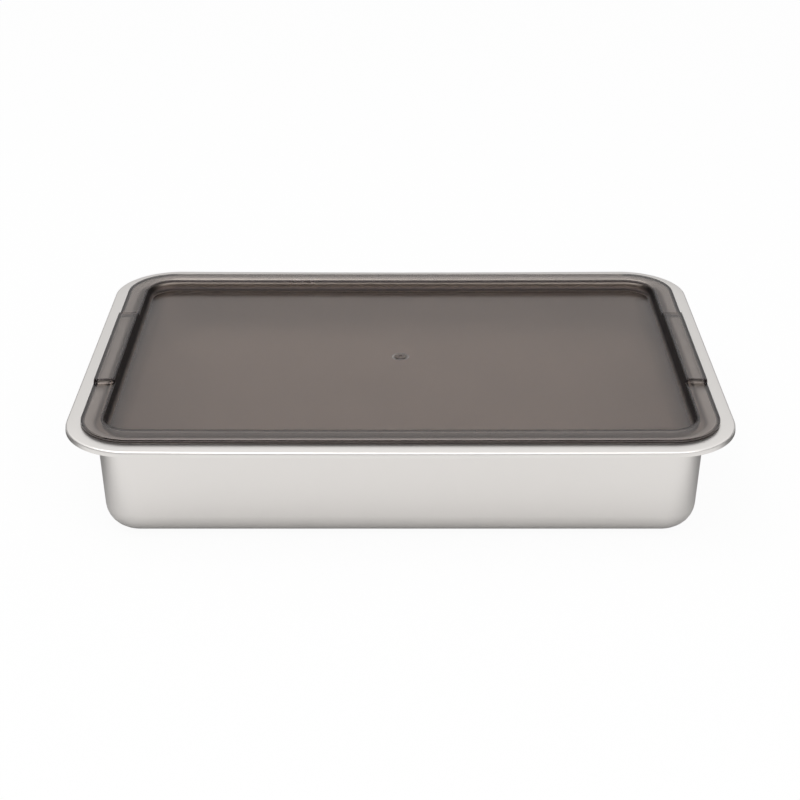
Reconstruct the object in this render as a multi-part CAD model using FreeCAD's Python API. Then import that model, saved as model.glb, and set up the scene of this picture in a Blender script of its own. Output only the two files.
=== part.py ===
"""Marinade pan: a deep-drawn steel pan and the moulded plastic lid that rests on its flange.

Millimetres. The origin is at the middle of the base, on the table. +X runs along the pan and
+Z points up. Both pieces are rounded rectangles: each is one closed section, carried round four
upright corner axes, along the sides between them and out over a flat floor.
"""
import FreeCAD
import Part
import math
import os

# Pan
PAN_LENGTH = 370.0  # over the flange, along X
PAN_WIDTH = 259.5  # over the flange, along Y
PAN_HEIGHT = 64.0  # from the table to the top of the flange
SHEET = 0.8  # steel sheet
FLANGE_OVERHANG = 16.5  # from the outside of the wall to the edge of the flange
WALL_CORNER_R = 22.5  # outside of the wall, seen from above, at the flange
WALL_DRAFT_DEG = 2.2  # each wall leans in towards the base
BASE_EDGE_R = 14.5  # outside, where the walls turn into the base
MOUTH_EDGE_R = 3.0  # upper face, where the walls turn into the flange
LIP_DROP = 3.2  # the flange's edge is turned down by this much
LIP_EDGE_R = 1.2  # upper face, where the flange turns into that lip
LIP_FLARE_DEG = 5.0  # the lip leans out this much from upright

# Lid
LID_WALL = 2.0  # everywhere on the moulding
END_LEFT_BARE = 8.4  # strip of the flange outside the lid, at the two short ends
SIDE_LEFT_BARE = 10.2  # the same strip along the two long sides
LID_CORNER_R = 29.0  # of the lid's outer edge, seen from above
RING_WIDTH = 13.3  # from the lid's outer edge in to its sunk side, at the height of the flange
RING_RISE = 2.6  # top of the raised ring over the flange
RING_EDGE_R = 1.5  # both long edges of the ring and of the grips
PANEL_DROP = 6.1  # from the top of the ring down to the panel
PANEL_EDGE_R = 3.5  # where the ring's inner side runs out into the panel
PLUG_LEAD_IN = 2.9  # bevel round the plug's lower edge, which finds the mouth of the pan
RING_DRAFT_DEG = 4.5  # on the outer face of the ring and of the grips, and on their ends
PLUG_DRAFT_DEG = 8.0  # on the sunk side of the ring, down to the panel
GRIP_LENGTH = 98.0  # along Y, one in the middle of each short side
GRIP_RISE = 2.5  # over the ring

# Mark left by the mould's gate, in the middle of the panel
GATE_R = 4.2
GATE_TOP_R = 3.8
GATE_RISE = 0.9
GATE_DIMPLE_R = 1.4
GATE_DIMPLE_FLOOR_R = 0.8
GATE_DIMPLE_DEPTH = 0.4

# Worked out from the sizes above
UP = FreeCAD.Vector(0, 0, 1)
FLANGE_CORNER_R = WALL_CORNER_R + FLANGE_OVERHANG
AXIS_X = PAN_LENGTH / 2 - FLANGE_CORNER_R
AXIS_Y = PAN_WIDTH / 2 - FLANGE_CORNER_R
LID_AXIS_X = PAN_LENGTH / 2 - END_LEFT_BARE - LID_CORNER_R
LID_AXIS_Y = PAN_WIDTH / 2 - SIDE_LEFT_BARE - LID_CORNER_R
WALL_INNER_R = WALL_CORNER_R - SHEET
PLUG_FACE_R = LID_CORNER_R - RING_WIDTH
RING_TOP = PAN_HEIGHT + RING_RISE
GRIP_TOP = RING_TOP + GRIP_RISE
PANEL_TOP = RING_TOP - PANEL_DROP

ROUND_ROOM = 0.98  # share of a straight that the rounds at its two ends may use up


def vector(x, y, z):
    return FreeCAD.Vector(x, y, z)


def leaned(radius, drop, draft_deg):
    """Radius of a drafted wall, this far below where it has the given radius."""
    return radius - drop * math.tan(math.radians(draft_deg))


def room_for_rounds(points, reaches):
    """How much of each round's reach fits on the two straights beside it, as a share from 0 to 1."""
    shares = [1.0] * len(points)
    for first in range(len(points) - 1):
        second = first + 1
        room = ROUND_ROOM * points[first].distanceToPoint(points[second])
        wanted = reaches[first] + reaches[second]
        if wanted > room:
            shares[first] = min(shares[first], room / wanted)
            shares[second] = min(shares[second], room / wanted)
    return shares


def rounded_line(corners):
    """An open line in the XZ plane through (x, z, radius) corners; a radius of 0 stays sharp."""
    points = [vector(x, 0, z) for x, z, radius in corners]
    half_turns = [0.0] * len(points)
    for index in range(1, len(points) - 1):
        arriving = points[index] - points[index - 1]
        leaving = points[index + 1] - points[index]
        half_turns[index] = arriving.getAngle(leaving) / 2
    reaches = [corner[2] * math.tan(turn) for corner, turn in zip(corners, half_turns)]
    shares = room_for_rounds(points, reaches)
    edges = []
    start = points[0]
    for index in range(1, len(points) - 1):
        reach = reaches[index] * shares[index]
        back = (points[index - 1] - points[index]).normalize()
        ahead = (points[index + 1] - points[index]).normalize()
        into = points[index] + back * reach
        edges.append(Part.makeLine(start, into))
        start = into
        if reach > 0:
            radius = reach / math.tan(half_turns[index])
            to_middle = radius / math.cos(half_turns[index]) - radius
            middle = points[index] + (back + ahead).normalize() * to_middle
            out_of = points[index] + ahead * reach
            edges.append(Part.Arc(into, middle, out_of).toShape())
            start = out_of
    edges.append(Part.makeLine(start, points[-1]))
    return Part.Wire(edges)


def section(upper, lower):
    """The face between an upper line, from the outer edge to the axis, and a lower one coming back."""
    skins = rounded_line(upper), rounded_line(lower)
    first, last = [skin.OrderedVertexes for skin in skins]
    ends = [
        Part.makeLine(first[-1].Point, last[0].Point),
        Part.makeLine(last[-1].Point, first[0].Point),
    ]
    return Part.Face(Part.Wire(skins[0].OrderedEdges + ends[:1] + skins[1].OrderedEdges + ends[1:]))


def carried_round(face, axis_x, axis_y, floor_top, wall):
    """Carries a section round the corner axes and along the sides between them, and adds the floor."""
    low_corner = vector(-axis_x, -axis_y, floor_top - wall)
    pieces = [Part.makeBox(2 * axis_x, 2 * axis_y, wall, low_corner)]
    axes = [(axis_x, axis_y), (-axis_x, axis_y), (-axis_x, -axis_y), (axis_x, -axis_y)]
    corner = face.revolve(vector(0, 0, 0), UP, 90)
    for quarter, (x, y) in enumerate(axes):
        turned = corner.copy()
        turned.rotate(vector(0, 0, 0), UP, 90 * quarter)
        turned.translate(vector(x, y, 0))
        next_x, next_y = axes[(quarter + 1) % len(axes)]
        side = face.copy()
        side.rotate(vector(0, 0, 0), UP, 90 * (quarter + 1))
        side.translate(vector(x, y, 0))
        pieces += [turned, side.extrude(vector(next_x - x, next_y - y, 0))]
    return pieces[0].multiFuse(pieces[1:]).removeSplitter()


def wall_inner_r(z):
    """Radius of the pan's drafted wall, on its inside, at a height."""
    return leaned(WALL_INNER_R, PAN_HEIGHT - z, WALL_DRAFT_DEG)


def make_pan():
    """One sheet: base, drafted walls, flange and the lip turned down all round it."""
    underside = PAN_HEIGHT - SHEET
    lip_end = PAN_HEIGHT - LIP_DROP
    upper = [
        (FLANGE_CORNER_R, lip_end, 0),
        (leaned(FLANGE_CORNER_R, LIP_DROP, LIP_FLARE_DEG), PAN_HEIGHT, LIP_EDGE_R),
        (WALL_INNER_R, PAN_HEIGHT, MOUTH_EDGE_R),
        (wall_inner_r(SHEET), SHEET, BASE_EDGE_R - SHEET),
        (0, SHEET, 0),
    ]
    lower = [
        (0, 0, 0),
        (wall_inner_r(0) + SHEET, 0, BASE_EDGE_R),
        (wall_inner_r(underside) + SHEET, underside, MOUTH_EDGE_R - SHEET),
        (leaned(FLANGE_CORNER_R, LIP_DROP - SHEET, LIP_FLARE_DEG) - SHEET, underside, 0),
        (FLANGE_CORNER_R - SHEET, lip_end, 0),
    ]
    return carried_round(section(upper, lower), AXIS_X, AXIS_Y, SHEET, SHEET)


def ring_outer_r(z):
    """Radius of the ring's drafted outer side at a height."""
    return leaned(LID_CORNER_R, z - PAN_HEIGHT, RING_DRAFT_DEG)


def plug_face_r(z):
    """Radius of the ring's drafted inner side at a height."""
    return leaned(PLUG_FACE_R, PAN_HEIGHT - z, PLUG_DRAFT_DEG)


def make_lid_shell():
    """The moulding before it gets its grips: foot, raised ring, sunk plug and panel."""
    underside = RING_TOP - LID_WALL
    plug_bottom = PANEL_TOP - LID_WALL
    lead_in_top = plug_bottom + PLUG_LEAD_IN
    upper = [
        (LID_CORNER_R, PAN_HEIGHT, 0),
        (ring_outer_r(RING_TOP), RING_TOP, RING_EDGE_R),
        (plug_face_r(RING_TOP), RING_TOP, RING_EDGE_R),
        (plug_face_r(PANEL_TOP), PANEL_TOP, PANEL_EDGE_R),
        (0, PANEL_TOP, 0),
    ]
    lower = [
        (0, plug_bottom, 0),
        (plug_face_r(plug_bottom) + LID_WALL - PLUG_LEAD_IN, plug_bottom, 0),
        (plug_face_r(lead_in_top) + LID_WALL, lead_in_top, 0),
        (plug_face_r(underside) + LID_WALL, underside, 0),
        (ring_outer_r(underside) - LID_WALL, underside, 0),
        (LID_CORNER_R - LID_WALL, PAN_HEIGHT, 0),
    ]
    return carried_round(section(upper, lower), LID_AXIS_X, LID_AXIS_Y, PANEL_TOP, LID_WALL)


def prism(corners, run):
    """The solid that a polygon sweeps out along a straight run."""
    return Part.Face(Part.makePolygon(corners + corners[:1])).extrude(run)


def grip_block(inset, top):
    """A drafted block over the ring of the +X side, this far inside the grip's own faces."""
    bottom = RING_TOP - LID_WALL
    across = []
    along = []
    for z, sides in ((bottom, (-1, 1)), (top, (1, -1))):
        faces = {-1: LID_AXIS_X + plug_face_r(z) + inset, 1: LID_AXIS_X + ring_outer_r(z) - inset}
        half_length = leaned(GRIP_LENGTH / 2, z - RING_TOP, RING_DRAFT_DEG) - inset
        for side in sides:
            across.append(vector(faces[side], -GRIP_LENGTH, z))
            along.append(vector(LID_AXIS_X, side * half_length, z))
    block = prism(across, vector(0, 2 * GRIP_LENGTH, 0))
    return block.common(prism(along, vector(PAN_LENGTH, 0, 0)))


def both_sides(shape):
    """A shape of the +X side and its copy on the -X side."""
    other = shape.copy()
    other.rotate(vector(0, 0, 0), UP, 180)
    return [shape, other]


def add_grips(lid):
    """Raises the ring into a hollow grip, rounded like the ring, in the middle of each short side."""
    block = grip_block(0, GRIP_TOP)
    rising_edges = [edge for edge in block.Edges if edge.BoundBox.ZMax > RING_TOP]
    grip = block.makeFillet(RING_EDGE_R, rising_edges)
    hollow = grip_block(LID_WALL, GRIP_TOP - LID_WALL)
    return lid.multiFuse(both_sides(grip)).cut(both_sides(hollow))


def gate_mark():
    """The low boss where the mould was filled, and the dimple in its top."""
    root = PANEL_TOP - LID_WALL / 2
    top = PANEL_TOP + GATE_RISE
    boss = Part.makeCone(GATE_R, GATE_TOP_R, GATE_RISE, vector(0, 0, PANEL_TOP))
    stem = Part.makeCylinder(GATE_R, PANEL_TOP - root, vector(0, 0, root))
    floor = vector(0, 0, top - GATE_DIMPLE_DEPTH)
    dimple = Part.makeCone(GATE_DIMPLE_FLOOR_R, GATE_DIMPLE_R, GATE_DIMPLE_DEPTH, floor)
    return boss.fuse(stem).cut(dimple)


def make_lid():
    """One moulding: the shell, its two grips and the gate mark on its panel."""
    lid = add_grips(make_lid_shell())
    return lid.fuse(gate_mark()).removeSplitter()


def main():
    os.makedirs("parts", exist_ok=True)
    for name, shape in (("pan", make_pan()), ("lid", make_lid())):
        print(name, shape.isValid(), len(shape.Solids), round(shape.Volume), shape.optimalBoundingBox())
        shape.exportStep("parts/" + name + ".step")


main()
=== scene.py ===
"""Looks of the marinade pan: a satin steel pan under its smoke-grey moulded lid.

Both pieces are swept anew round the same section lines as the CAD solids, with finer rounds, and
stand for them. Their sizes and the camera's place are in millimetres in the part's own frame, and
become metres where they are used. The floor, the lamps and the materials are in metres.
"""
import math

import bpy
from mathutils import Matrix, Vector


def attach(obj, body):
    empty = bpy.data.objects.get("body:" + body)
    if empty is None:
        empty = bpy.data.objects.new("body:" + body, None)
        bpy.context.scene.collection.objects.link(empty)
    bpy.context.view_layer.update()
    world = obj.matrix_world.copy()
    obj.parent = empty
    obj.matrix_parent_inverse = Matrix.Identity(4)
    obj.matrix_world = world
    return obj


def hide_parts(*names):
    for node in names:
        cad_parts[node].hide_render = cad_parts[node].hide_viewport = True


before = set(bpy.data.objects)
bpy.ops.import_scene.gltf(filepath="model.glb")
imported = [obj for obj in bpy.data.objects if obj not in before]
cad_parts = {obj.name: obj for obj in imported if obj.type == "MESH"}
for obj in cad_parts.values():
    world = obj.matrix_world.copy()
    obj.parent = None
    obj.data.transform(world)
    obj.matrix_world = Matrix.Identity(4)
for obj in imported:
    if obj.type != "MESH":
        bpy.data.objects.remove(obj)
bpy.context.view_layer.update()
MM = 0.001
WHITE = (1, 1, 1, 1)
NOISE_SPAN = (0.0, 1.0)

# Pan, as in the CAD frame
PAN_LENGTH = 370.0
PAN_WIDTH = 259.5
PAN_HEIGHT = 64.0
SHEET = 0.8
FLANGE_OVERHANG = 16.5
WALL_CORNER_R = 22.5
WALL_DRAFT_DEG = 2.2
BASE_EDGE_R = 14.5
MOUTH_EDGE_R = 3.0
LIP_DROP = 3.2
LIP_EDGE_R = 1.2
LIP_FLARE_DEG = 5.0

# Lid, as in the CAD frame
LID_WALL = 2.0
END_LEFT_BARE = 8.4
SIDE_LEFT_BARE = 10.2
LID_CORNER_R = 29.0
RING_WIDTH = 13.3
RING_RISE = 2.6
RING_EDGE_R = 1.5
PANEL_DROP = 6.1
PANEL_EDGE_R = 3.5
PLUG_LEAD_IN = 2.9
RING_DRAFT_DEG = 4.5
PLUG_DRAFT_DEG = 8.0
GRIP_LENGTH = 98.0
GRIP_RISE = 2.5

# Finer forms of the pan, which the CAD solid leaves sharp or straight
LIP_END_R = 0.12
FLANGE_SAG = 0.6  # how far the edge of the flange hangs in the middle of the long sides

# Finer forms of the lid
OUTER_EDGE_R = 0.4
RING_FALL = 0.35  # the ring's top is this much lower at its outer edge
RING_HOLLOW_OUTER_R = 0.3
RING_HOLLOW_INNER_R = 0.4
FOOT_EDGE_R = 0.3
LEAD_IN_R = 1.2
LID_SAG = 0.28
GRIP_END_TOP_R = 0.9
GRIP_END_FOOT_R = 0.8
GRIP_HOLLOW_R = 0.4
FLAT_BY_ROUND = 3  # a grip's end profile runs on past its rounds by this many times their radius

# Mark left by the mould's gate, in the middle of the panel
GATE_R = 4.2
GATE_RIM = 0.9  # width of the slope round the boss, and of the flat ring round the slope
GATE_RISE = 0.4
GATE_EDGE_R = 0.5
GATE_DIMPLE_R = 1.4
GATE_DIMPLE_SLOPE = 0.7
GATE_DIMPLE_DEPTH = 0.3
GATE_DIMPLE_EDGE_R = 0.2
GATE_DIMPLE_FLOOR_R = 0.6

# Worked out
CORNER_R = WALL_CORNER_R + FLANGE_OVERHANG
AXIS_X = PAN_LENGTH / 2 - CORNER_R
AXIS_Y = PAN_WIDTH / 2 - CORNER_R
WALL_INNER_R = WALL_CORNER_R - SHEET
LID_AXIS_X = PAN_LENGTH / 2 - END_LEFT_BARE - LID_CORNER_R
LID_AXIS_Y = PAN_WIDTH / 2 - SIDE_LEFT_BARE - LID_CORNER_R
PLUG_FACE_R = LID_CORNER_R - RING_WIDTH
RING_MIDDLE_R = LID_CORNER_R - RING_WIDTH / 2
RING_TOP = PAN_HEIGHT + RING_RISE
PANEL_TOP = RING_TOP - PANEL_DROP
PLUG_BOTTOM = PANEL_TOP - LID_WALL

# How finely the meshes are cut
ARC_STEPS = 8
CORNER_STEPS = 24
LONG_CELLS = 41
SHORT_CELLS = 27
SHADE_CUTS = 5  # of the plug's underside, from its edge to the corner axes
GATE_STEPS = 48
GRIP_CUT_MARGIN = 1.0  # an even cut keeps this far from the cuts at a grip's end
CLOSEST_CUTS = 0.02
SMOOTH_UP_TO_DEG = 40.0
TINY = 1e-9

# Mesh attributes of the lid, from 0 to 1
FROST = "frosted_underside"  # how matt it is
PAINTED_SHADE = "painted_wall_shade"  # painted shade: how dark the lid is painted on its walls and round their feet, partly for the long way light takes along the walls

# How matt the lid is
PLUG_FROST_TOP = 63.0  # the underside is matt up to this height
PANEL_FROST = 0.12
RECESS_WALL_FROST = 0.35
RECESS_WALL_FROST_TOP = RING_TOP - 0.2
HEIGHT_SLACK = 0.1
FACES_DOWN = 0.1  # a normal's least share downwards
FACES_OUT = 0.5  # a normal's least share away from the corner axes

# How dark the lid is painted, as painted shade. A pair is where a change starts and where it is complete
FACES_STRAIGHT = 0.9  # a normal's least share in the direction that it is asked about
OUTER_DARK_TOP = 64.85  # the ring's outer side is painted dark up to this height, as painted shade
# painted shade of the ring's outer side at the two ends
OUTER_END_SHADE = 0.6
OUTER_END_TURN = (0.7, 1.0)  # of the normal's share along X
RING_INNER_SHADE = 0.25  # painted shade of the ring's top at its inner edge, at the two ends
UNDERSIDE_TOP = PAN_HEIGHT - 1  # the panel's underside lies below this height
WALL_SHADE_INSET = (0, 15.0)  # the painted shade under the panel fades out this far in from the plug's face
END_WALL_TURN = (0.4, 0.9)  # of the normal's share along X
LONG_WALL_TURN = (0.0, 0.3)  # of the normal's share along Y
LONG_WALL_HEIGHTS = (PANEL_TOP + 0.8, PANEL_TOP + 2.4)

# Steel
STEEL_COLOUR = (0.8, 0.775, 0.75, 1)
STEEL_ROUGHNESS = (0.3, 0.36)
STEEL_CLOUD = {"scale": 9.0, "detail": 3.0}
STEEL_DRAWN = {"scale": 16.0, "detail": 2.0}
STEEL_DRAWN_BUMP = {"distance": 0.0004, "strength": 0.02}
STEEL_GRAIN = {"scale": 900.0, "detail": 2.0, "stretch": (0.15, 1, 1)}
STEEL_GRAIN_BUMP = {"distance": 0.00002, "strength": 0.35}

# Smoke plastic. The two tints are what each crossing of a matt surface, or of one painted dark as painted
# shade, lets through
PLASTIC_IOR = 1.5
PLASTIC_ROUGHNESS = (0.11, 0.15)
PLASTIC_CLOUD = {"scale": 30.0, "detail": 3.0}
PLASTIC_GLOSS_TINT = (0.98, 0.85, 0.85, 1)
FROSTED_ROUGHNESS = 0.55
FROSTED_TINT = (0.93, 0.82, 0.75, 1)
# roughness and tint where the lid is painted dark, as painted shade
PAINTED_SHADE_ROUGHNESS = 0.6
PAINTED_SHADE_TINT = (0.01, 0.008, 0.007, 1)
SMOKE_COLOUR = (0.375, 0.3, 0.25, 1)
SMOKE_DENSITY = 350.0

# Camera, worked out from the outline in the 800 by 800 photograph
CAMERA_PITCH_DEG = 26.15
CAMERA_AIM = (0.0, -65.6, 64.0)
CAMERA_DISTANCE = 954.0
CAMERA_LENS_MM = 75.77
SENSOR_MM = 36.0
CAMERA_SHIFT = (-0.0006, -0.0007)

# World: strength by the height that a ray rises to, and where it lights the floor; 1 is white
SKY_RISE = (0.1, 0.486)
SKY_STRENGTH = (0.1, 1.0)
WORLD_ON_FLOOR = 0.75

# Floor. Painted shade that only reflections show: dark beyond the ends of the pan, and darker close to
# its foot as a painted shadow
FLOOR_SIZE = 12.0
FLOOR_SHADE = 0.9
FLOOR_ROUGHNESS = 0.9
DARK_ENDS_Y = (0.06, 0.14)
DARK_ENDS_Y_SHARE = (1.0, 0.0)
DARK_ENDS_X = (0.2, 0.27)
DARK_ENDS_X_SHARE = (0.7, 0.94)
FOOT_LONGER_BY = 0.055  # about half the pan's length less half its width
FOOT_OUT = (0.1, 0.113)
FOOT_SHADE = (0.56, 0.9)
# How much of what a ray meets is the floor's own white glow
FLOOR_GLOW = {"Is Camera Ray": 0.94, "Is Glossy Ray": 0.1, "Is Transmission Ray": 0.5}

# Lamps: name, place, size and power
LAMPS = (
    ("key", (-0.5, -0.3, 1.6), (1.4, 1.0), 8),
    ("fill", (0.8, -1.2, 1.2), (1.2, 1.2), 5),
)
LAMP_AIM = (0, 0, 0.04)


def leaned(radius, drop, draft_deg):
    """Radius of a drafted wall, this far below where it has the given radius."""
    return radius - drop * math.tan(math.radians(draft_deg))


def eased(value, start, end):
    """0 up to start, 1 past end and a smooth rise in between."""
    share = min(max((value - start) / (end - start), 0.0), 1.0)
    return share * share * (3 - 2 * share)


def spread(low, high, count):
    """Evenly spaced values from low to high, both included."""
    return [low + (high - low) * step / count for step in range(count + 1)]


def rounded_line(corners):
    """Points of a line through (r, z, radius) corners, with each round cut into ARC_STEPS."""
    points = [corners[0][:2]]
    for before, corner, after in zip(corners, corners[1:], corners[2:]):
        at = Vector(corner[:2])
        if corner[2] == 0:
            points.append(tuple(at))
            continue
        back = (Vector(before[:2]) - at).normalized()
        ahead = (Vector(after[:2]) - at).normalized()
        half = back.angle(ahead) / 2
        middle = at + (back + ahead).normalized() * (corner[2] / math.sin(half))
        first = at + back * (corner[2] / math.tan(half)) - middle
        sweep = first.angle_signed(at + ahead * (corner[2] / math.tan(half)) - middle)
        for step in range(ARC_STEPS + 1):
            turn = -sweep * step / ARC_STEPS
            cos_t, sin_t = math.cos(turn), math.sin(turn)
            spoke = (first.x * cos_t - first.y * sin_t, first.x * sin_t + first.y * cos_t)
            points.append((middle.x + spoke[0], middle.y + spoke[1]))
    points.append(corners[-1][:2])
    return points


def outline_columns(xs, ys):
    """Where the section stands round the outline: (middle x, middle y, angle, grid cell corner).

    It starts at the +X end of the back side and runs anticlockwise, seen from above.
    """
    columns = []
    last_x, last_y = len(xs) - 1, len(ys) - 1
    sides = (
        (0, [(i, last_y) for i in range(last_x, -1, -1)]),
        (1, [(0, j) for j in range(last_y, -1, -1)]),
        (2, [(i, 0) for i in range(last_x + 1)]),
        (3, [(last_x, j) for j in range(last_y + 1)]),
    )
    for quarter, cells in sides:
        straight = math.pi / 2 * (quarter + 1)
        for i, j in cells:
            columns.append((xs[i], ys[j], straight, (i, j)))
        i, j = cells[-1]
        for step in range(1, CORNER_STEPS):
            turn = straight + math.pi / 2 * step / CORNER_STEPS
            columns.append((xs[i], ys[j], turn, (i, j)))
    return columns


class Skin:
    """Vertices and faces of one closed surface, in millimetres."""

    def __init__(self):
        self.points = []
        self.faces = []

    def add(self, x, y, z):
        self.points.append((x * MM, y * MM, z * MM))
        return len(self.points) - 1

    def face(self, *corners):
        kept = [c for n, c in enumerate(corners) if c != corners[n - 1]]
        if len(kept) > 2:
            self.faces.append(kept)

    def made(self, name):
        mesh = bpy.data.meshes.new(name)
        mesh.from_pydata(self.points, [], self.faces)
        mesh.validate()
        piece = bpy.data.objects.new(name, mesh)
        bpy.context.scene.collection.objects.link(piece)
        return piece


def add_floor(skin, xs, ys, z, facing_up, left_out=None):
    """A grid between the corner axes; returns the vertex at each (i, j)."""
    grid = {(i, j): skin.add(x, y, z) for i, x in enumerate(xs) for j, y in enumerate(ys)}
    for i in range(len(xs) - 1):
        for j in range(len(ys) - 1):
            if (i, j) == left_out:
                continue
            ring = [grid[i, j], grid[i + 1, j], grid[i + 1, j + 1], grid[i, j + 1]]
            skin.face(*(ring if facing_up else ring[::-1]))
    return grid


def swept(section_at, floors, xs, ys, left_out=None):
    """Carries a section round the outline. section_at(column) gives (r, z) from one floor to the other.

    The section runs from the upper floor out to the outer edge and back in to the lower floor.
    """
    skin = Skin()
    upper = add_floor(skin, xs, ys, floors[0], True, left_out)
    lower = add_floor(skin, xs, ys, floors[1], False)
    rows = []
    for column in outline_columns(xs, ys):
        x, y, turn, cell = column
        row = [upper[cell]]
        for r, z in section_at(column):
            row.append(skin.add(x + r * math.cos(turn), y + r * math.sin(turn), z))
        row.append(lower[cell])
        rows.append(row)
    for row, following in zip(rows, rows[1:] + rows[:1]):
        for a, b, c, d in zip(row, row[1:], following[1:], following):
            skin.face(a, b, c, d)
    return skin, upper


def hang(piece, depth, half_length, start, width):
    """Lowers a piece's long sides: most in their middle, and more the further out from start."""
    for point in piece.data.vertices:
        along = max(0.0, 1.0 - (point.co.x / MM / half_length) ** 2)
        out = (abs(point.co.y) / MM - start) / width
        point.co.z -= depth * MM * along * min(max(out, 0.0), 1.0)


def wall_inner_r(z):
    """Radius of the pan's drafted wall, on its inside, at a height."""
    return leaned(WALL_INNER_R, PAN_HEIGHT - z, WALL_DRAFT_DEG)


def pan_section():
    """The sheet's section: along its upper face to the lip's end, and back along the lower one."""
    underside = PAN_HEIGHT - SHEET
    lip_end = PAN_HEIGHT - LIP_DROP
    line = rounded_line([
        (0, SHEET, 0),
        (wall_inner_r(SHEET), SHEET, BASE_EDGE_R - SHEET),
        (WALL_INNER_R, PAN_HEIGHT, MOUTH_EDGE_R),
        (leaned(CORNER_R, LIP_DROP, LIP_FLARE_DEG), PAN_HEIGHT, LIP_EDGE_R),
        (CORNER_R, lip_end, LIP_END_R),
        (CORNER_R - SHEET, lip_end, LIP_END_R),
        (leaned(CORNER_R, LIP_DROP - SHEET, LIP_FLARE_DEG) - SHEET, underside, LIP_EDGE_R - SHEET),
        (wall_inner_r(underside) + SHEET, underside, MOUTH_EDGE_R - SHEET),
        (wall_inner_r(0) + SHEET, 0, BASE_EDGE_R),
        (0, 0, 0),
    ])
    return line[1:-1]


def make_pan():
    points = pan_section()
    xs = spread(-AXIS_X, AXIS_X, LONG_CELLS)
    ys = spread(-AXIS_Y, AXIS_Y, SHORT_CELLS)
    skin = swept(lambda column: points, (SHEET, 0), xs, ys)[0]
    pan = skin.made("pan_sheet")
    hang(pan, FLANGE_SAG, AXIS_X, AXIS_Y + WALL_CORNER_R, FLANGE_OVERHANG)
    return pan


def ring_outer_r(z):
    """Radius of the ring's drafted outer side at a height."""
    return leaned(LID_CORNER_R, z - PAN_HEIGHT, RING_DRAFT_DEG)


def plug_face_r(z):
    """Radius of the ring's drafted inner side at a height."""
    return leaned(PLUG_FACE_R, PAN_HEIGHT - z, PLUG_DRAFT_DEG)


def lid_section(rise, inner_rise):
    """The lid's section where the ring's top and its underside are raised this much."""
    top = RING_TOP + rise
    outer_top = top - RING_FALL
    underside = RING_TOP - LID_WALL + inner_rise
    lead_in = PLUG_BOTTOM + PLUG_LEAD_IN
    line = rounded_line([
        (0, PANEL_TOP, 0),
        (plug_face_r(PANEL_TOP), PANEL_TOP, PANEL_EDGE_R),
        (plug_face_r(top), top, RING_EDGE_R),
        (ring_outer_r(outer_top), outer_top, OUTER_EDGE_R),
        (ring_outer_r(OUTER_DARK_TOP), OUTER_DARK_TOP, 0),
        (LID_CORNER_R, PAN_HEIGHT, FOOT_EDGE_R),
        (LID_CORNER_R - LID_WALL, PAN_HEIGHT, FOOT_EDGE_R),
        (ring_outer_r(underside) - LID_WALL, underside, RING_HOLLOW_OUTER_R),
        (plug_face_r(underside) + LID_WALL, underside, RING_HOLLOW_INNER_R),
        (plug_face_r(lead_in) + LID_WALL, lead_in, LEAD_IN_R),
        (plug_face_r(PLUG_BOTTOM) + LID_WALL - PLUG_LEAD_IN, PLUG_BOTTOM, LEAD_IN_R),
        (0, PLUG_BOTTOM, 0),
    ])
    flat_r = line[-2][0]
    shade_cuts = [(flat_r * step / SHADE_CUTS, PLUG_BOTTOM) for step in range(SHADE_CUTS - 1, 0, -1)]
    return line[1:-1] + shade_cuts


def grip_profile(half_length, top_r, foot_r):
    """(y, height) along a grip's end, from the ring over the end's rounds to the grip's top."""
    top_half_length = leaned(half_length, GRIP_RISE, RING_DRAFT_DEG)
    return rounded_line([
        (half_length + FLAT_BY_ROUND * foot_r, 0, 0),
        (half_length, 0, foot_r),
        (top_half_length, GRIP_RISE, top_r),
        (top_half_length - FLAT_BY_ROUND * top_r, GRIP_RISE, 0),
    ])


def height_along(profile, y):
    """The height of a grip's end profile at this distance from the grip's middle."""
    y = abs(y)
    if y >= profile[0][0]:
        return profile[0][1]
    for (y0, z0), (y1, z1) in zip(profile, profile[1:]):
        if y1 <= y <= y0:
            return z0 + (z1 - z0) * (y0 - y) / max(y0 - y1, TINY)
    return profile[-1][1]


def grip_cuts(profiles):
    """The places along Y where the short sides need a cut, to follow the ends of the grips."""
    places = sorted(y for profile in profiles for y, z in profile)
    first = places[0] - GRIP_CUT_MARGIN
    last = places[-1] + GRIP_CUT_MARGIN
    cuts = [y for y in spread(-LID_AXIS_Y, LID_AXIS_Y, SHORT_CELLS) if not first < abs(y) < last]
    for y in places:
        if min(abs(abs(y) - abs(cut)) for cut in cuts) > CLOSEST_CUTS:
            cuts += [y, -y]
    return sorted(cuts)


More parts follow.
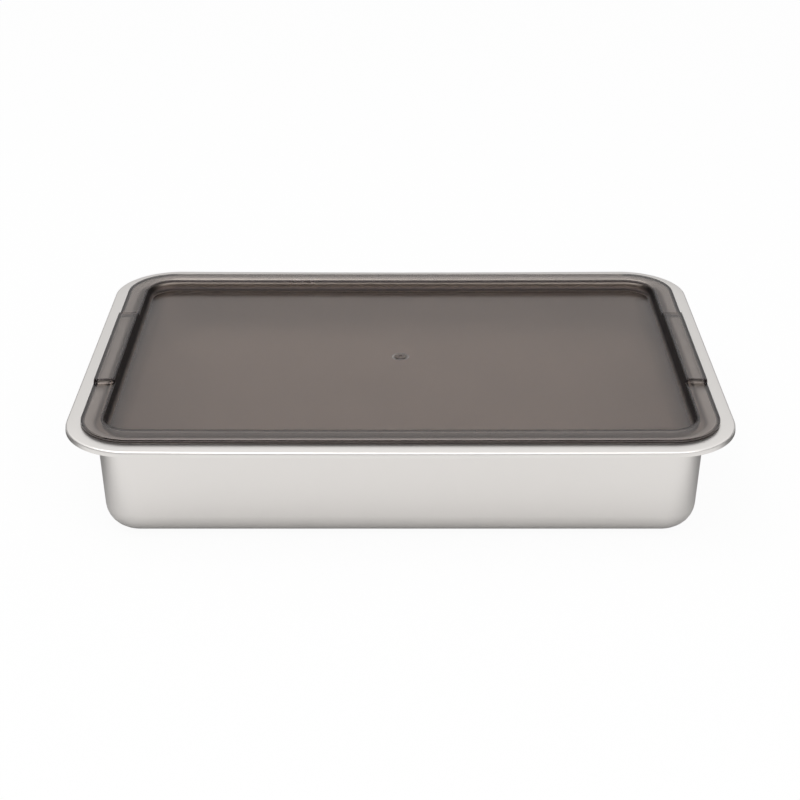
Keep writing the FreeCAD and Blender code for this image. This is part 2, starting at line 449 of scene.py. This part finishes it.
def add_gate(skin, grid, i, j):
    """Closes the left-out middle cell with the low boss where the mould was filled."""
    top = PANEL_TOP + GATE_RISE
    dimple_floor = top - GATE_DIMPLE_DEPTH
    line = rounded_line([
        (GATE_R + GATE_RIM, PANEL_TOP, 0),
        (GATE_R, PANEL_TOP, GATE_EDGE_R),
        (GATE_R - GATE_RIM, top, GATE_EDGE_R),
        (GATE_DIMPLE_R, top, GATE_DIMPLE_EDGE_R),
        (GATE_DIMPLE_R - GATE_DIMPLE_SLOPE, dimple_floor, GATE_DIMPLE_FLOOR_R),
        (0, dimple_floor, 0),
    ])
    rings = []
    for r, z in line[:-1]:
        ring = []
        for step in range(GATE_STEPS):
            turn = math.tau * step / GATE_STEPS
            ring.append(skin.add(r * math.cos(turn), r * math.sin(turn), z))
        rings.append(ring)
    middle = skin.add(0, 0, dimple_floor)
    for ring, inner in zip(rings, rings[1:]):
        for n in range(GATE_STEPS):
            skin.face(ring[n], ring[n - GATE_STEPS + 1], inner[n - GATE_STEPS + 1], inner[n])
    for n in range(GATE_STEPS):
        skin.face(rings[-1][n], rings[-1][n - GATE_STEPS + 1], middle)
    corners = [grid[i + 1, j + 1], grid[i, j + 1], grid[i, j], grid[i + 1, j]]
    quarter = GATE_STEPS // len(corners)
    for q, corner in enumerate(corners):
        for n in range(quarter):
            first = q * quarter + n
            skin.face(corner, rings[0][(first + 1) % GATE_STEPS], rings[0][first])
        next_corner = corners[(q + 1) % len(corners)]
        skin.face(corner, next_corner, rings[0][(q + 1) * quarter % GATE_STEPS])


def lid_place(place, normal):
    """Distance of a place from the lid's corner axes, and how much its surface faces away from them."""
    past_x = math.copysign(max(abs(place.x) - LID_AXIS_X, 0.0), place.x)
    past_y = math.copysign(max(abs(place.y) - LID_AXIS_Y, 0.0), place.y)
    r = math.hypot(past_x, past_y)
    return r, (past_x * normal.x + past_y * normal.y) / max(r, TINY)


def frosting(place, normal):
    """How matt the lid is: fully under its sunk panel and round the plug, less in the recess."""
    r, outward = lid_place(place, normal)
    if normal.z < -FACES_DOWN or (outward > FACES_OUT and r < RING_MIDDLE_R):
        return 1.0 if place.z < PLUG_FROST_TOP else 0.0
    if place.z < PANEL_TOP + HEIGHT_SLACK:
        return PANEL_FROST
    return RECESS_WALL_FROST if r < RING_MIDDLE_R and place.z < RECESS_WALL_FROST_TOP else 0.0


def wall_painted_shade(place, normal):
    """How dark the lid is painted, as painted shade: on its upright walls, round the panel's underside
    and on the ring's ends.
    """
    r, outward = lid_place(place, normal)
    if normal.z > FACES_STRAIGHT and place.z > PAN_HEIGHT:
        at_end = max(abs(place.x) - LID_AXIS_X, 0.0) / r
        return RING_INNER_SHADE * at_end * (LID_CORNER_R - r) / RING_WIDTH
    if normal.z < -FACES_STRAIGHT and place.z < UNDERSIDE_TOP:
        # painted shade under the panel, fading in from the plug's face
        inside = min(max(LID_AXIS_X - abs(place.x), 0.0), max(LID_AXIS_Y - abs(place.y), 0.0))
        return 1 - eased(PLUG_FACE_R - r + inside, *WALL_SHADE_INSET)
    if r > RING_MIDDLE_R:
        if outward < FACES_STRAIGHT or place.z > OUTER_DARK_TOP + HEIGHT_SLACK:
            return 0.0
        return 1 - (1 - OUTER_END_SHADE) * eased(abs(normal.x), *OUTER_END_TURN)
    ends = eased(abs(normal.x), *END_WALL_TURN)
    if outward > 0:
        return ends
    low = eased(abs(normal.y), *LONG_WALL_TURN) * (1 - eased(place.z, *LONG_WALL_HEIGHTS))
    return max(ends, low)


def make_lid():
    outer = grip_profile(GRIP_LENGTH / 2, GRIP_END_TOP_R, GRIP_END_FOOT_R)
    hollow = grip_profile(GRIP_LENGTH / 2 - LID_WALL, GRIP_HOLLOW_R, GRIP_HOLLOW_R)
    xs = spread(-LID_AXIS_X, LID_AXIS_X, LONG_CELLS)
    ys = grip_cuts((outer, hollow))

    def section_at(column):
        y, turn = column[1:3]
        on_short_side = abs(math.sin(turn)) < TINY
        rise = height_along(outer, y) if on_short_side else 0.0
        inner_rise = height_along(hollow, y) if on_short_side else 0.0
        return lid_section(rise, inner_rise)

    i = (len(xs) - 1) // 2
    j = next(n for n in range(len(ys)) if ys[n] < 0 < ys[n + 1])
    skin, upper = swept(section_at, (PANEL_TOP, PLUG_BOTTOM), xs, ys, (i, j))
    add_gate(skin, upper, i, j)
    lid = skin.made("lid_moulding")
    frost = lid.data.attributes.new(FROST, "FLOAT", "POINT")
    shade_paint = lid.data.attributes.new(PAINTED_SHADE, "FLOAT", "POINT")
    for n, point in enumerate(lid.data.vertices):
        frost.data[n].value = frosting(point.co / MM, point.normal)
        shade_paint.data[n].value = wall_painted_shade(point.co / MM, point.normal)
    hang(lid, LID_SAG, LID_AXIS_X, 0, LID_AXIS_Y + PLUG_FACE_R)
    return lid


def principled(name):
    material = bpy.data.materials.new(name)
    material.use_nodes = True
    tree = material.node_tree
    return material, tree, tree.nodes["Principled BSDF"]


def feed(tree, socket, value):
    """Links another node's output to a socket, or sets a plain value on it."""
    if isinstance(value, bpy.types.NodeSocket):
        tree.links.new(value, socket)
    else:
        socket.default_value = value


def coordinates(tree, source):
    return tree.nodes.new("ShaderNodeTexCoord").outputs[source]


def noise(tree, scale, detail, stretch=(1, 1, 1)):
    """Noise in the piece's own space, which rides with it."""
    mapping = tree.nodes.new("ShaderNodeMapping")
    mapping.inputs["Scale"].default_value = stretch
    texture = tree.nodes.new("ShaderNodeTexNoise")
    texture.inputs["Scale"].default_value = scale
    texture.inputs["Detail"].default_value = detail
    tree.links.new(coordinates(tree, "Object"), mapping.inputs["Vector"])
    tree.links.new(mapping.outputs["Vector"], texture.inputs["Vector"])
    return texture.outputs["Fac"]


def ramp(tree, value, span, ends):
    """The first end up to the span, the second past it and even in between."""
    node = tree.nodes.new("ShaderNodeMapRange")
    for name, number in zip(("From Min", "From Max", "To Min", "To Max"), span + ends):
        node.inputs[name].default_value = number
    tree.links.new(value, node.inputs["Value"])
    return node.outputs["Result"]


def bumped(tree, height, distance, strength, before=None):
    """A normal bent by a height, on top of an earlier one if there is one."""
    node = tree.nodes.new("ShaderNodeBump")
    node.inputs["Distance"].default_value = distance
    node.inputs["Strength"].default_value = strength
    tree.links.new(height, node.inputs["Height"])
    if before is not None:
        tree.links.new(before, node.inputs["Normal"])
    return node.outputs["Normal"]


def mixed(tree, factor, a, b, kind="FLOAT"):
    """Mixes two values or colours, each a plain one or another node's output."""
    node = tree.nodes.new("ShaderNodeMix")
    node.data_type = kind
    sockets = {socket.name: socket for socket in node.inputs if socket.enabled}
    for name, value in (("Factor", factor), ("A", a), ("B", b)):
        feed(tree, sockets[name], value)
    return next(socket for socket in node.outputs if socket.enabled)


def worked_out(tree, operation, *values):
    """A Math node over numbers and other nodes' outputs."""
    node = tree.nodes.new("ShaderNodeMath")
    node.operation = operation
    for socket, value in zip(node.inputs, values):
        feed(tree, socket, value)
    return node.outputs["Value"]


def attribute(tree, name):
    node = tree.nodes.new("ShaderNodeAttribute")
    node.attribute_name = name
    return node.outputs["Fac"]


def share_for_rays(tree, shares, otherwise):
    """A value for each kind of ray named in shares, such as {"Is Camera Ray": 1.0}, and one for the rest.

    A share may be a number or another node's output.
    """
    path = tree.nodes.new("ShaderNodeLightPath")
    total = otherwise
    for kind, share in shares.items():
        total = mixed(tree, path.outputs[kind], total, share)
    return total


def place_along(tree, source, axis):
    """One coordinate of a Texture Coordinate output."""
    parts = tree.nodes.new("ShaderNodeSeparateXYZ")
    tree.links.new(coordinates(tree, source), parts.inputs["Vector"])
    return parts.outputs[axis]


def steel():
    """Satin stainless steel: a fine even grain, a little uneven in gloss, softly drawn."""
    material, tree, shader = principled("satin_steel")
    shader.inputs["Base Color"].default_value = STEEL_COLOUR
    shader.inputs["Metallic"].default_value = 1.0
    gloss = ramp(tree, noise(tree, **STEEL_CLOUD), NOISE_SPAN, STEEL_ROUGHNESS)
    tree.links.new(gloss, shader.inputs["Roughness"])
    drawn = bumped(tree, noise(tree, **STEEL_DRAWN), **STEEL_DRAWN_BUMP)
    grain = bumped(tree, noise(tree, **STEEL_GRAIN), **STEEL_GRAIN_BUMP, before=drawn)
    tree.links.new(grain, shader.inputs["Normal"])
    return material


def smoke_plastic():
    """See-through moulded plastic, tinted smoke brown, matt by one mesh attribute and painted dark by
    another, as painted shade.
    """
    material, tree, shader = principled("smoke_plastic")
    shader.inputs["Transmission Weight"].default_value = 1.0
    shader.inputs["IOR"].default_value = PLASTIC_IOR
    shader.inputs["Specular Tint"].default_value = PLASTIC_GLOSS_TINT
    frost = attribute(tree, FROST)
    shade_paint = attribute(tree, PAINTED_SHADE)
    tint = mixed(tree, frost, WHITE, FROSTED_TINT, "RGBA")
    tree.links.new(mixed(tree, shade_paint, tint, PAINTED_SHADE_TINT, "RGBA"), shader.inputs["Base Color"])
    gloss = ramp(tree, noise(tree, **PLASTIC_CLOUD), NOISE_SPAN, PLASTIC_ROUGHNESS)
    matt = mixed(tree, frost, gloss, FROSTED_ROUGHNESS)
    tree.links.new(mixed(tree, shade_paint, matt, PAINTED_SHADE_ROUGHNESS), shader.inputs["Roughness"])
    smoke = tree.nodes.new("ShaderNodeVolumeAbsorption")
    smoke.inputs["Color"].default_value = SMOKE_COLOUR
    smoke.inputs["Density"].default_value = SMOKE_DENSITY
    tree.links.new(smoke.outputs["Volume"], tree.nodes["Material Output"].inputs["Volume"])
    return material


def make_world():
    """White to the camera, and darker near the horizon where the pan and its lid reflect it."""
    world = bpy.data.worlds.new("studio")
    bpy.context.scene.world = world
    world.use_nodes = True
    tree = world.node_tree
    background = tree.nodes["Background"]
    background.inputs["Color"].default_value = WHITE
    sky = ramp(tree, place_along(tree, "Generated", "Z"), SKY_RISE, SKY_STRENGTH)
    shares = {"Is Camera Ray": 1.0, "Is Glossy Ray": sky, "Is Transmission Ray": sky}
    tree.links.new(share_for_rays(tree, shares, WORLD_ON_FLOOR), background.inputs["Strength"])


def reflected_floor(tree):
    """The floor's painted shade where the steel and the lid reflect it, with a painted shadow round the
    pan's foot.
    """
    x = worked_out(tree, "ABSOLUTE", place_along(tree, "Object", "X"))
    y = worked_out(tree, "ABSOLUTE", place_along(tree, "Object", "Y"))
    beside = ramp(tree, y, DARK_ENDS_Y, DARK_ENDS_Y_SHARE)
    beyond = ramp(tree, x, DARK_ENDS_X, DARK_ENDS_X_SHARE)
    dark = worked_out(tree, "MULTIPLY", beside, beyond)
    out = worked_out(tree, "MAXIMUM", worked_out(tree, "SUBTRACT", x, FOOT_LONGER_BY), y)
    near = ramp(tree, out, FOOT_OUT, FOOT_SHADE)
    return worked_out(tree, "MULTIPLY", worked_out(tree, "SUBTRACT", 1.0, dark), near)


def make_floor():
    """White to the camera apart from the pan's shadow, with painted shade at both ends and round the foot
    where it is reflected.
    """
    bpy.ops.mesh.primitive_plane_add(size=FLOOR_SIZE, location=(0, 0, 0))
    floor = bpy.context.object
    floor.name = "floor"
    material, tree, shader = principled("pale_floor")
    shader.inputs["Roughness"].default_value = FLOOR_ROUGHNESS
    shader.inputs["Specular IOR Level"].default_value = 0.0
    shade = share_for_rays(tree, {"Is Glossy Ray": reflected_floor(tree)}, FLOOR_SHADE)
    tree.links.new(shade, shader.inputs["Base Color"])
    glow = tree.nodes.new("ShaderNodeEmission")
    mix = tree.nodes.new("ShaderNodeMixShader")
    tree.links.new(share_for_rays(tree, FLOOR_GLOW, 0.0), mix.inputs["Fac"])
    tree.links.new(shader.outputs["BSDF"], mix.inputs[1])
    tree.links.new(glow.outputs["Emission"], mix.inputs[2])
    tree.links.new(mix.outputs["Shader"], tree.nodes["Material Output"].inputs["Surface"])
    floor.data.materials.append(material)


def make_lamp(name, place, size, power):
    """A large soft lamp that looks at the middle of the pan."""
    lamp = bpy.data.lights.new(name, "AREA")
    lamp.shape = "RECTANGLE"
    lamp.size, lamp.size_y = size
    lamp.energy = power
    holder = bpy.data.objects.new(name, lamp)
    bpy.context.scene.collection.objects.link(holder)
    holder.location = place
    holder.rotation_euler = (Vector(LAMP_AIM) - Vector(place)).to_track_quat("-Z", "Y").to_euler()


def make_studio():
    make_world()
    make_floor()
    for name, place, size, power in LAMPS:
        make_lamp(name, place, size, power)
    bpy.context.scene.view_settings.view_transform = "Standard"


def make_camera():
    camera = bpy.data.cameras.new("camera")
    camera.lens = CAMERA_LENS_MM
    camera.sensor_width = SENSOR_MM
    camera.shift_x, camera.shift_y = CAMERA_SHIFT
    holder = bpy.data.objects.new("camera", camera)
    bpy.context.scene.collection.objects.link(holder)
    pitch = math.radians(CAMERA_PITCH_DEG)
    x, y, z = CAMERA_AIM
    away = CAMERA_DISTANCE * math.cos(pitch)
    up = CAMERA_DISTANCE * math.sin(pitch)
    holder.location = (x * MM, (y - away) * MM, (z + up) * MM)
    holder.rotation_euler = (math.pi / 2 - pitch, 0, 0)
    bpy.context.scene.camera = holder


def dress(piece, material, node):
    """Gives a piece its material and smooth shading, and lets it stand for a node of the CAD model."""
    piece.data.materials.append(material)
    piece.data.shade_smooth()
    piece.data.set_sharp_from_angle(angle=math.radians(SMOOTH_UP_TO_DEG))
    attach(piece, "root")
    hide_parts(node)


make_camera()
dress(make_pan(), steel(), "pan")
dress(make_lid(), smoke_plastic(), "lid")
make_studio()
